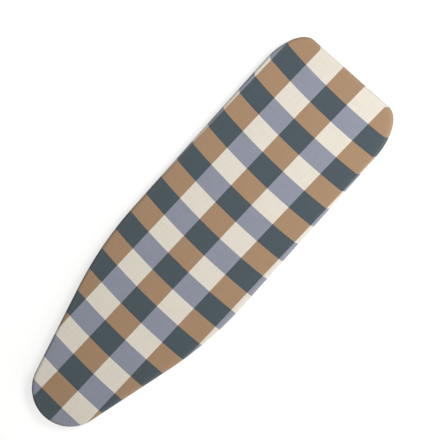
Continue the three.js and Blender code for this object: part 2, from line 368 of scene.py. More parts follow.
@dataclass(frozen=True)
class CellFoam(Finish):
    """Open-cell polyurethane foam, sliced to a sheet: dry and matt, with cut cells all over its faces."""

    colour: str = "#E6E0CF"
    # Painted shade in the hollows of the cut cells.
    pore_shade: str = "#C6BB9F"
    cell: float = 1.4 * MM

    def surface(self, add: AddNode) -> Inputs:
        """Opens the cells in the foam's faces, and paints shade into their hollows.

        Args:
            add: Adds a node to the material.

        Returns:
            The shader's inputs.
        """
        place = add("TexCoord")["Object"]
        cells = add("TexVoronoi", {"Vector": place, "Scale": 1 / self.cell}, feature="DISTANCE_TO_EDGE")
        wall = add("MapRange", {"Value": cells[0], "From Min": 0.3, "From Max": 0.02})[0]
        tones = {6: to_linear(self.pore_shade), 7: to_linear(self.colour)}
        colour = add("Mix", {0: wall, **tones}, data_type="RGBA")
        bump = add("Bump", {"Strength": 0.7, "Distance": 0.5 * MM, "Height": wall})
        return {"Base Color": colour[2], "Normal": bump[0], "Roughness": 0.95, "Specular IOR Level": 0.2}


@dataclass(frozen=True)
class BiasTape(Finish):
    """Cream cotton tape, cut on the bias, so its fine threads cross the fold at 45 degrees."""

    colour: str = "#E2DCCF"
    # The tape darkens towards this colour: painted shade in the valleys between threads, and soil.
    valley_shade_and_soil: str = "#C9C0AD"
    # Real threads lie about 0.35 mm apart, and are drawn twice as coarse so that they show.
    thread: float = 0.7 * MM
    thread_shade: float = 0.5
    soil: float = 50 * MM

    def surface(self, add: AddNode) -> Inputs:
        """Weaves the tape on the bias, paints shade into the valleys between its threads, and soils it here
        and there.

        Args:
            add: Adds a node to the material.

        Returns:
            The shader's inputs.
        """
        cut = add("UVMap", uv_map=CUT_MAP)[0]
        lie = {"Rotation": (0, 0, QUARTER / 2), "Scale": (math.pi / self.thread,) * 3}
        waves = add("VectorMath", {0: add("Mapping", {"Vector": cut, **lie})[0]}, operation="SINE")
        crowns = add("VectorMath", {0: waves[0]}, operation="ABSOLUTE")
        crown = add("SeparateXYZ", {0: crowns[0]})
        height = add("Math", {0: crown[0], 1: crown[1]}, operation="MULTIPLY")[0]
        soil = add("TexNoise", {"Vector": cut, "Scale": 1 / self.soil, "Detail": 3.0}, noise_dimensions="2D")
        # Painted shade where the threads dip, with soil mottled over it.
        shaded = {0: height, 1: self.thread_shade, 2: soil[0]}
        tone = add("Math", shaded, operation="MULTIPLY_ADD", use_clamp=True)[0]
        tones = {6: to_linear(self.valley_shade_and_soil), 7: to_linear(self.colour)}
        colour = add("Mix", {0: tone, **tones}, data_type="RGBA")
        bump = add("Bump", {"Strength": 0.5, "Distance": 0.1 * MM, "Height": height})
        return {"Base Color": colour[2], "Normal": bump[0], "Roughness": 0.9, "Sheen Weight": 0.06}


@dataclass(frozen=True)
class SewingThread(Finish):
    """Spun polyester thread in cream: a matt yarn with a slight lustre on its crown."""

    colour: str = "#EDE7DA"
    shade: str = "#CFC6B3"
    ply: float = 2 / 3 * MM

    def surface(self, add: AddNode) -> Inputs:
        """Mottles the yarn by its plies.

        Args:
            add: Adds a node to the material.

        Returns:
            The shader's inputs.
        """
        plies = add("TexNoise", {"Vector": add("TexCoord")["Object"], "Scale": 1 / self.ply})[0]
        tones = {6: to_linear(self.shade), 7: to_linear(self.colour)}
        colour = add("Mix", {0: plies, **tones}, data_type="RGBA")
        return {"Base Color": colour[2], "Roughness": 0.6}


@dataclass(frozen=True)
class BraidedPolyester(Finish):
    """White braided polyester: bright crowns of filament yarn, with soft shade where strands dive under."""

    colour: str = "#ECEAE4"
    # Painted shade in the gaps where strands dive under each other.
    gap: str = "#A9A59B"
    filament: float = 1 / 3 * MM
    filament_shade: float = 0.3
    glossiest: float = 0.4

    def surface(self, add: AddNode) -> Inputs:
        """Shades the gaps between the strands, and draws their filaments.

        Args:
            add: Adds a node to the material.

        Returns:
            The shader's inputs.
        """
        cut = add("UVMap", uv_map=CUT_MAP)[0]
        fine = add("TexNoise", {"Vector": cut, "Scale": 1 / self.filament}, noise_dimensions="2D")[0]
        # The attribute holds the strands' crown height here: painted shade in the gaps where they dive
        # under.
        shaded = {0: fine, 1: self.filament_shade, 2: add("Attribute", attribute_name=RUB_AND_CROWN_SHADE)["Fac"]}
        tone = add("Math", shaded, operation="MULTIPLY_ADD", use_clamp=True)[0]
        tones = {6: to_linear(self.gap), 7: to_linear(self.colour)}
        colour = add("Mix", {0: tone, **tones}, data_type="RGBA")
        rough = add("Math", {0: fine, 1: self.filament_shade, 2: self.glossiest}, operation="MULTIPLY_ADD")
        bump = add("Bump", {"Strength": 0.3, "Distance": 0.1 * MM, "Height": fine})
        return {"Base Color": colour[2], "Roughness": rough[0], "Normal": bump[0]}


@dataclass(frozen=True)
class MouldedAcetal(Finish):
    """Slate-grey acetal from a spark-eroded mould: an even satin with a fine grain and a waxy gloss."""

    colour: str = "#3B4147"
    worn: str = "#565D64"
    grain: float = 0.35 * MM
    rub: float = 10 / 3 * MM
    rub_dulling: float = 0.25
    glossiest: float = 0.35
    ior: float = 1.48

    def surface(self, add: AddNode) -> Inputs:
        """Grains the plastic, and rubs it paler in places.

        Args:
            add: Adds a node to the material.

        Returns:
            The shader's inputs.
        """
        place = add("TexCoord")["Object"]
        grain = add("TexNoise", {"Vector": place, "Scale": 1 / self.grain})
        rubs = add("TexNoise", {"Vector": place, "Scale": 1 / self.rub, "Detail": 3.0})[0]
        lightening = add("MapRange", {"Value": rubs, "From Min": 0.55, "From Max": 0.8, "To Max": 0.5})[0]
        tones = {6: to_linear(self.colour), 7: to_linear(self.worn)}
        colour = add("Mix", {0: lightening, **tones}, data_type="RGBA")
        rough = add("Math", {0: rubs, 1: self.rub_dulling, 2: self.glossiest}, operation="MULTIPLY_ADD")
        bump = add("Bump", {"Strength": 0.25, "Distance": 0.05 * MM, "Height": grain[0]})
        return {"Base Color": colour[2], "Roughness": rough[0], "Normal": bump[0], "IOR": self.ior}


@dataclass(frozen=True)
class SpringWire(Finish):
    """Bright drawn spring steel, with die lines along the wire."""

    colour: str = "#B9BCC0"
    line: float = 0.12 * MM
    line_dulling: float = 0.25
    glossiest: float = 0.15
    shift: Point = (513.2 * MM, 0, -6.0 * MM)

    def surface(self, add: AddNode) -> Inputs:
        """Draws the die lines along the wire.

        Args:
            add: Adds a node to the material.

        Returns:
            The shader's inputs.
        """
        # Rings about the coil's own middle run along the wire. A ring texture has 20 radians to a unit.
        middle = add("Mapping", {"Vector": add("TexCoord")["Object"], "Location": self.shift})[0]
        rings = {"Vector": middle, "Scale": TURN / 20 / self.line, "Distortion": 1.5}
        lines = add("TexWave", rings, wave_type="RINGS", rings_direction="Y")[0]
        rough = add("Math", {0: lines, 1: self.line_dulling, 2: self.glossiest}, operation="MULTIPLY_ADD")
        return {"Base Color": to_linear(self.colour), "Metallic": 1.0, "Roughness": rough[0]}


COTTON = CheckedCotton("printed plain-woven cotton", Slot.COTTON)
COTTON_BACK = CheckedCotton("back of the printed cotton", Slot.COTTON, Side.REVERSE)
FELT = NeedledFelt("needle-punched polyester felt", Slot.FELT)
FOAM = CellFoam("open-cell polyurethane foam", Slot.FOAM)
TAPE = BiasTape("cotton bias tape", Slot.TAPE)
THREAD = SewingThread("spun polyester thread", Slot.TAPE)
BRAID = BraidedPolyester("braided polyester cord", Slot.CORD)
ACETAL = MouldedAcetal("moulded acetal", Slot.PLASTIC)
STEEL = SpringWire("drawn spring steel", Slot.STEEL)


def put(name: str, data: bpy.types.ID | Mesh) -> Piece:
    """Puts an object into the scene, at the origin.

    Args:
        name: The object's name.
        data: What it holds. A bmesh is made a mesh, and freed.

    Returns:
        The object.
    """
    if isinstance(data, Mesh):
        bm, data = data, bpy.data.meshes.new(name)
        bm.to_mesh(data)
        bm.free()
    made = bpy.data.objects.new(name, data)
    bpy.context.scene.collection.objects.link(made)
    return made


def make_piece(
    name: str, bm: Mesh, finishes: Sequence[Finish], body: Body, node: str | None = None
) -> Piece:
    """Turns a finished bmesh into a piece that rides on a body.

    Args:
        name: The piece's name.
        bm: The mesh, which is freed.
        finishes: The finishes of its material slots.
        body: The body that it moves with.
        node: The solid that it replaces, if any.

    Returns:
        The piece.
    """
    piece = put(name, bm)
    for finish in finishes:
        piece.data.materials.append(finish.material())
    piece.data.shade_smooth()
    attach(piece, body.value)
    if node:
        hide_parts(node)
    return piece


def lay_grid(points: Array, cut: Array, rubbed: Array | None = None, upright: bool = False) -> Mesh:
    """Lays a flat grid over rows of points, and joins the seams where rows or columns meet.

    Args:
        points: Places of the grid's corners, as rows x columns x 3.
        cut: Places on the cut cloth for the corners, as rows x columns x 2.
        rubbed: Per corner, as rows x columns, or None: on the cotton how worn it is along its edge, and on
            the cord the height of the strands' crowns, which paints shade into the gaps between strands.
        upright: Whether most of the sheet is set to face up, for one that stays open.

    Returns:
        The mesh.
    """
    rows, columns = points.shape[:2]
    bm = bmesh.new()
    bmesh.ops.create_grid(bm, x_segments=columns - 1, y_segments=rows - 1, size=1.0)
    uv_layer = bm.loops.layers.uv.new(CUT_MAP)
    # On the cotton the layer holds how worn it is; on the cord, the crown height that paints shade into the
    # gaps between strands.
    lightening = bm.verts.layers.float.new(RUB_AND_CROWN_SHADE)
    spots = {
        vert: (round((vert.co.y + 1) / 2 * (rows - 1)), round((vert.co.x + 1) / 2 * (columns - 1)))
        for vert in bm.verts
    }
    for face in bm.faces:
        for loop in face.loops:
            loop[uv_layer].uv = cut[spots[loop.vert]]
    for vert, spot in spots.items():
        vert.co = points[spot]
        if rubbed is not None:
            vert[lightening] = rubbed[spot]
    bmesh.ops.remove_doubles(bm, verts=bm.verts, dist=MERGE)
    bmesh.ops.recalc_face_normals(bm, faces=bm.faces)
    if upright and sum(face.normal.z * face.calc_area() for face in bm.faces) < 0:
        bmesh.ops.reverse_faces(bm, faces=bm.faces)
    return bm


def cap_ends(bm: Mesh) -> None:
    """Closes the open ends of a mesh, and turns its faces outwards."""
    bmesh.ops.holes_fill(bm, edges=[edge for edge in bm.edges if edge.is_boundary], sides=0)
    bmesh.ops.recalc_face_normals(bm, faces=bm.faces)


def gone_along(path: Array) -> Array:
    """Gives how far along a path each of its points lies."""
    return np.append(0, np.cumsum(np.linalg.norm(np.diff(path, axis=0), axis=1)))


def resampled(path: Array, step: float) -> Array:
    """Spaces points evenly along a path.

    Args:
        path: The points that it follows, as rows x 3.
        step: About how far apart the new points are.

    Returns:
        The new points, with the path's own ends.
    """
    gone = gone_along(path)
    marks = np.linspace(0, gone[-1], max(2, round(gone[-1] / step) + 1))
    return np.stack([np.interp(marks, gone, path[:, i]) for i in range(3)], 1)


def tube(path: Array, radii: Array, closed: bool) -> tuple[Array, Array]:
    """Carries an upright ring along a path.

    Args:
        path: The points that it follows, as rows x 3.
        radii: The ring's radius at each row and column. The last column repeats the first.
        closed: Whether the path's end joins its start.

    Returns:
        Rows of points, and the places of the same corners on the tube's unrolled skin.
    """
    if closed:
        along = np.roll(path, -1, 0) - np.roll(path, 1, 0)
        path, along = (np.vstack([rows, rows[:1]]) for rows in (path, along))
    else:
        along = np.gradient(path, axis=0)
    along /= np.linalg.norm(along, axis=1, keepdims=True)
    side = np.cross((0, 0, 1), along)
    side /= np.linalg.norm(side, axis=1, keepdims=True)
    up = np.cross(along, side)
    angles = np.linspace(0, TURN, radii.shape[1])
    spokes = side[:, None] * np.cos(angles)[:, None] + up[:, None] * np.sin(angles)[:, None]
    cut = np.stack(np.broadcast_arrays(angles * radii.mean(), gone_along(path)[:, None]), -1)
    points = path[:, None] + spokes * radii[:, :, None]
    points[:, -1] = points[:, 0]
    return points, cut


def smoothstep(share: Array | float) -> Array:
    """Eases a share between 0 and 1 at both ends."""
    share = np.clip(share, 0, 1)
    return share * share * (3 - 2 * share)


def between(start: Array | float, end: Array | float, share: Array | float) -> Array:
    """Goes from a start to an end by a share."""
    return start + (end - start) * share


def columns(*parts: Array | float) -> Array:
    """Stands columns side by side, with a single number repeated down all the rows."""
    return np.column_stack(np.broadcast_arrays(*parts))


def swell(angle: Array) -> Array:
    """Rises from 0 to 1 and falls back in each turn of an angle."""
    return 0.5 - 0.5 * np.cos(angle)


def swings(count: Array, waves: Sequence[Wave]) -> Array:
    """Adds up waves along a count, each given by its size, how many go to 1, and its start."""
    return sum(size * np.sin(TURN * often * count + start) for size, often, start in waves)


def ripples(flat: Array, waves: Sequence[Wave]) -> list[Array]:
    """Runs waves over flat places, each given by its turn along X and along Y, and its start."""
    return [np.sin(along * flat[:, 0] + across * flat[:, 1] + start) for along, across, start in waves]


@dataclass
class BoardPlan:
    """The cover's plan: stations round its outline, and how each moves in for what lies inside it.

    The stations run anticlockwise from the middle of the tail. They lie close where the hem is gathered.
    """

    length: float = 1200 * MM
    width: float = 385 * MM
    nose_radius: float = 100 * MM
    taper: float = math.radians(15)
    shoulder_radius: float = 1000 * MM
    corner_length: float = 125 * MM
    corner_width: float = 62 * MM
    edge_radius: float = 9 * MM
    tunnel_inset: float = 46 * MM
    tunnel_z: float = 2.6 * MM
    mouth: float = 15.75 * MM
    tail_square: float = 0.3
    spine_share: float = 0.72
    mouth_steps: int = 6
    tail_steps: int = 28
    corner_steps: int = 84
    side_steps: int = 100
    shoulder_steps: int = 54
    taper_steps: int = 56
    nose_steps: int = 84
    outer: Array = field(init=False, repr=False)
    inward: Array = field(init=False, repr=False)
    outward: Array = field(init=False, repr=False)
    tangent: Array = field(init=False, repr=False)

    def __post_init__(self) -> None:
        """Sets the stations out on both halves of the plan."""
        outer, inward = (np.vstack(part) for part in zip(*self._half()))
        flip = np.array([1, -1])
        self.outer = np.vstack([outer * flip, outer[1:-1][::-1]])
        self.inward = np.vstack([inward * flip, inward[1:-1][::-1]])
        along = np.roll(self.outer, -1, 0) - np.roll(self.outer, 1, 0)
        self.tangent = along / np.linalg.norm(along, axis=1, keepdims=True)
        self.outward = np.stack([self.tangent[:, 1], -self.tangent[:, 0]], 1)

    def _half(self) -> list[tuple[Array, Array]]:
        """Sets out half the outline in runs, from the middle of the tail to the tip of the nose.

        Returns:
            For each run its stations, and how far each moves for an inset of 1, both as stations x 2.
        """
        steps = partial(np.linspace, endpoint=False)
        half_width = self.width / 2
        lean = np.array([math.sin(self.taper), math.cos(self.taper)])
        corner = np.array([self.corner_length - self.length / 2, half_width - self.corner_width])
        nose = np.array([self.length / 2 - self.nose_radius, 0])
        shoulder_y = half_width - self.shoulder_radius
        across = self.nose_radius - self.shoulder_radius - shoulder_y * lean[1]
        shoulder = np.array([nose[0] + across / lean[0], shoulder_y])
        mouth = self.mouth / corner[1]
        tail = np.append(steps(0, mouth, self.mouth_steps), steps(mouth, 1, self.tail_steps))
        square = np.clip((tail - self.tail_square) / (1 - self.tail_square), 0, 1)
        side = steps(0, 1, self.side_steps)
        taper = steps(0, 1, self.taper_steps)[:, None]
        turns = (
            steps(math.pi, QUARTER, self.corner_steps),
            steps(QUARTER, QUARTER - self.taper, self.shoulder_steps),
            np.linspace(QUARTER - self.taper, 0, self.nose_steps),
        )
        bend, curve, tip = (columns(np.cos(turn), np.sin(turn)) for turn in turns)
        taper_start, taper_end = shoulder + lean * self.shoulder_radius, nose + lean * self.nose_radius
        return [
            (columns(-self.length / 2, tail * corner[1]), columns(1, -square)),
            (corner + bend * [self.corner_length, self.corner_width], np.tile([1, -1], (len(bend), 1))),
            (columns(between(corner[0], shoulder[0], side), half_width), columns(1 - side, -1)),
            (shoulder + curve * self.shoulder_radius, -curve),
            (between(taper_start, taper_end, taper), np.tile(-lean, (len(taper), 1))),
            (nose + tip * self.nose_radius, -tip),
        ]

    @property
    def hem(self) -> slice:
        """The stations along the hem from mouth to mouth."""
        return slice(self.mouth_steps, len(self.outer) - self.mouth_steps + 1)

    def at(self, inset: Array | float) -> Array:
        """Gives the outline drawn in by an inset, as stations x 2."""
        return self.outer + self.inward * inset

    def spine(self) -> Array:
        """Gives the point on the middle line that each station's row ends at, as stations x 2."""
        return self.outer * [self.spine_share, 0.0]


@dataclass
class HemGathers:
    """The folds that the draw cord makes in the cloth, deepest where the outline bends most.

    A fold stands out from the side and down from the hem, and the cloth between folds draws back.
    """

    plan: BoardPlan
    reach: float = 79.86 * MM
    raw_inset: float = 43.9 * MM
    close: float = 9.5 * MM
    wide: float = 36 * MM
    fullest: float = 2.2
    deep_fullness: float = 1.7
    depth_power: float = 0.6
    spread: float = 14 * MM
    straight_share: float = 0.28
    settle_start: float = 0.7
    settle_run: float = 3.0
    stand: float = 1.7 * MM
    draw: float = 2.3 * MM
    lean: float = 1.1 * MM
    fine_start: float = 18 * MM
    fine_run: float = 28 * MM
    broad_phase: float = 0.6
    crease: float = 0.6 * MM
    crease_middle: float = 64 * MM
    crease_reach: float = 8 * MM
    crease_phase: float = 0.9
    # Swings that keep the folds from lying evenly, counted in folds
    fold_swings: tuple[Wave, ...] = ((0.2, 0.29, 0), (0.15, 0.113, 1.3))
    depth_swings: tuple[Wave, ...] = ((0.22, 0.381, 0.7), (0.14, 0.137, 2.1))
    # How much of the folds shows at distances along the cloth, from the top edge to past the cord
    marks: tuple[float, ...] = (0, 8, 14, 32.5, 42, 58, 71.4, 79.86, 82, 90)
    stands: tuple[float, ...] = (0, 0, 0.1, 0.8, 0.95, 1.0, 0.5, 0.15, 0.05, 0)
    draws: tuple[float, ...] = (0, 0, 0, 0.12, 0.5, 1.0, 0.4, 0.12, 0.05, 0)
    fold: Array = field(init=False, repr=False)
    depth: Array = field(init=False, repr=False)

    def __post_init__(self) -> None:
        """Counts the folds round the hem by how much cloth the outline has to take in."""
        plan = self.plan
        lines = plan.at(plan.edge_radius) + plan.outward * self.reach, plan.at(self.raw_inset)
        flat, raw = (np.linalg.norm(np.roll(line, -1, 0) - line, axis=1) for line in lines)
        full = np.clip(flat / raw - 1, 0, self.fullest)
        # The fullness is spread along the hem, so that folds grow and fade gradually.
        gone = np.cumsum(raw)
        apart = np.abs(gone[:, None] - gone)
        near = np.exp(-0.5 * (np.minimum(apart, gone[-1] - apart) / self.spread) ** 2) * raw
        share = np.clip(near @ full / near.sum(1) / self.deep_fullness, 0, 1) ** self.depth_power
        count = np.cumsum(raw / between(self.wide, self.close, share))
        self.fold = count + swings(count, self.fold_swings)
        from_mouth = np.abs(plan.outer[:, 1]) + plan.outer[:, 0] + plan.length / 2
        settled = smoothstep((from_mouth / plan.mouth - self.settle_start) / self.settle_run)
        uneven = 1 + swings(count, self.depth_swings)
        self.depth = between(self.straight_share, 1, share) * uneven * settled

    def stand_out(self, distance: float) -> tuple[Array, Array]:
        """Says how far the cloth stands out of its smooth form at a distance from the top edge.

        Args:
            distance: How far along the cloth, from where the top begins to turn down.

        Returns:
            For each station, how far it stands out, and how far it leans along the hem.
        """
        stand = np.interp(distance / MM, self.marks, self.stands)
        draw = np.interp(distance / MM, self.marks, self.draws)
        broad = swell(math.pi * self.fold + self.broad_phase)
        fine = smoothstep((distance - self.fine_start) / self.fine_run)
        crest = between(broad, swell(TURN * self.fold), fine)
        near = math.exp(-(((distance - self.crease_middle) / self.crease_reach) ** 2))
        creases = self.crease * near * swell(2 * TURN * self.fold + self.crease_phase)
        out = self.depth * (self.stand * stand * crest - self.draw * draw * (1 - crest) - creases)
        return out, self.depth * self.lean * draw * np.sin(TURN * self.fold)


@dataclass
class CoverCloth:
    """The checked cotton: a taut top, a rounded edge, the side and the gathered hem under the board."""

    plan: BoardPlan
    gathers: HemGathers
    top: float = 35.6 * MM
    turn_radius: float = 6 * MM
    hem_bottom: float = 2.2 * MM
    thickness: float = 0.55 * MM
    ripple: float = 0.1 * MM
    ripple_waves: tuple[Wave, ...] = ((31, 9, 0.4), (-13, 37, 1.9), (53, -21, 0))
    ripple_fade: int = 4
    rub_middle: float = 6 * MM
    rub_reach: float = 5 * MM
    # How the cloth was drawn off its grain: bows of the print at the nose and at the sides
    across_unit: float = 200 * MM
    skew_along: float = -8.4 * MM
    bow_along: float = 10.8 * MM
    twist_along: float = -1.2 * MM
    slack_along: float = -2.0 * MM
    drift_along: float = -1.0 * MM
    skew_across: float = 13.3 * MM
    curl_across: float = -1.9 * MM
    drift_across: float = 2.3 * MM
    narrowing: float = -1.9 * MM
    tail_stretch: float = 12 * MM
    tail_run: float = 60 * MM
    top_rows: int = 15
    edge_rows: int = 9
    side_rows: int = 6
    turn_rows: int = 6
    hem_rows: int = 18

    def build(self) -> Piece:
        """Lays the cloth over its top and its section, and gives it thickness and a paler back.

        Returns:
            The cloth.
        """
        plan = self.plan
        rows, cuts, rubs = [], [], []
        spine, edge = plan.spine(), plan.at(plan.edge_radius)
        for share in np.linspace(0, 1, self.top_rows, endpoint=False):
            flat = between(spine, edge, share)
            lift = self.ripple * sum(ripples(flat, self.ripple_waves)) * (1 - share**self.ripple_fade)
            rows.append(np.column_stack([flat, self.top + lift]))
            cuts.append(flat + self._drawn(flat))
            rubs.append(np.zeros_like(lift))
        drawn = self._drawn(edge)
        for distance, inset, z, out_inset, out_z in self._profile():
            out, lean = self.gathers.stand_out(distance)
            ring = plan.at((inset + out_inset * out)[:, None]) + plan.tangent * lean[:, None]
            rows.append(np.column_stack([ring, z + out_z * out]))
            cuts.append(edge + drawn + plan.outward * distance)
            rubs.append(np.full_like(out, math.exp(-(((distance - self.rub_middle) / self.rub_reach) ** 2))))
        closed = (np.array([np.append(row, row[:1], 0) for row in part]) for part in (rows, cuts, rubs))
        bm = lay_grid(*closed, upright=True)
        cloth = make_piece("checked_cotton_cover", bm, [COTTON, COTTON_BACK], Body.COVER, "cover_fabric")
        wall = cloth.modifiers.new("cloth thickness", "SOLIDIFY")
        wall.thickness = self.thickness
        wall.offset = -1
        wall.material_offset = 1
        return cloth

    def flat_size(self) -> tuple[float, float, float]:
        """Measures the cloth as it was cut, before it was gathered.

        Returns:
            Its width, its length and its area.
        """
        edge = self.plan.at(self.plan.edge_radius) + self.plan.outward * self._profile()[-1][0]
        x, y = edge[:, 0], edge[:, 1]
        area = 0.5 * abs(np.sum(x * np.roll(y, -1) - y * np.roll(x, -1)))
        return float(np.ptp(y)), float(np.ptp(x)), float(area)

    def _drawn(self, flat: Array) -> Array:
        """Says how far the print lies off its grain, because the cloth was drawn more in some places.

        Args:
            flat: Places on the top, as stations x 2.

        Returns:
            How far along and across the print has moved there, as stations x 2.
        """
        x, y = flat[:, 0] / (self.plan.length / 2), flat[:, 1] / self.across_unit
        along = self.skew_along * y + self.bow_along * y**2 + self.twist_along * x * y
        along += self.slack_along * x**2 + self.drift_along * x**3
        tail = (self.tail_run - self.plan.length / 2 - flat[:, 0]) / self.tail_run
        along += self.tail_stretch * smoothstep(tail)
        across = self.skew_across * x + self.curl_across * x**2 + self.drift_across * x**3
        return np.stack([along, across + self.narrowing * x**2 * y], 1)

    def _profile(self) -> list[tuple[float, ...]]:
        """Walks the cloth's section from the top edge to the raw edge of the hem.

        Returns:
            For each row the distance along the cloth, its inset, its height, and the direction that it
            faces as a share of the inset and of the height.
        """
        steps = partial(np.linspace, endpoint=False)
        edge, turn = self.plan.edge_radius, self.turn_radius
        upper, lower = self.top - edge, self.hem_bottom + turn
        rows = []
        for angle in steps(0, QUARTER, self.edge_rows):
            sin, cos = math.sin(angle), math.cos(angle)
            rows.append((edge * angle, edge * (1 - sin), upper + edge * cos, -sin, cos))
        gone = edge * QUARTER
        for z in steps(upper, lower, self.side_rows):
            rows.append((gone + upper - z, 0.0, z, -1.0, 0.0))
        gone += upper - lower
        for angle in steps(0, QUARTER, self.turn_rows):
            sin, cos = math.sin(angle), math.cos(angle)
            rows.append((gone + turn * angle, turn * (1 - cos), lower - turn * sin, -cos, -sin))
        gone += turn * QUARTER
        for inset in np.linspace(turn, self.gathers.raw_inset, self.hem_rows):
            rows.append((gone + inset - turn, inset, self.hem_bottom, 0.0, -1.0))
        return rows


@dataclass
class PadLayer:
    """A pad under the cotton that fills its rounded edge between two heights."""

    plan: BoardPlan
    name: str
    node: str
    finish: Finish
    bottom: float
    top: float
    unevenness: float
    edge_middle: float = 26.6 * MM
    edge_radius: float = 7.9 * MM
    lump_waves: tuple[Wave, ...] = ((71, 0, 1.1), (0, 83, 0.3), (127, -59, 0))
    small_lumps: float = 0.6
    lump_middle: float = 0.5
    lump_share: float = 0.3
    lump_fade: int = 6
    face_rows: int = 9
    edge_rows: int = 6
    skip: int = 2

    def build(self) -> Piece:
        """Lays the pad's skin from the middle of its top, round the edge, to the middle of its underside.

        Returns:
            The pad.
        """
        shares = np.linspace(0, 1, self.face_rows + 1)[:-1]
        rows = [self._row(self.top, share, -1) for share in shares]
        rows += [self._row(z, 1.0, 0) for z in np.linspace(self.top, self.bottom, self.edge_rows)]
        rows += [self._row(self.bottom, share, 1) for share in shares[::-1]]
        points = np.array([np.append(row, row[:1], 0) for row in rows])
        bm = lay_grid(points, points[:, :, :2])
        return make_piece(self.name, bm, [self.finish], Body.COVER, self.node)

    def _row(self, z: float, share: float, sag: int) -> Array:
        """Sets out one row of the skin.

        Args:
            z: The row's height.
            share: How far out the row lies, from 0 on the middle line to 1 at the edge.
            sag: 1 or -1 where the face is uneven, towards which side, and 0 on the edge.

        Returns:
            The row's points, as stations x 3.
        """
        rise = min(max(z - self.edge_middle, 0), self.edge_radius)
        edge = self.plan.at(self.plan.edge_radius - math.sqrt(self.edge_radius**2 - rise**2))
        flat = between(self.plan.spine(), edge, share)[:: self.skip]
        long, wide, small = ripples(flat, self.lump_waves)
        lumps = self.lump_middle + self.lump_share * (long * wide + self.small_lumps * small)
        return np.column_stack([flat, z + sag * self.unevenness * lumps * (1 - share**self.lump_fade)])


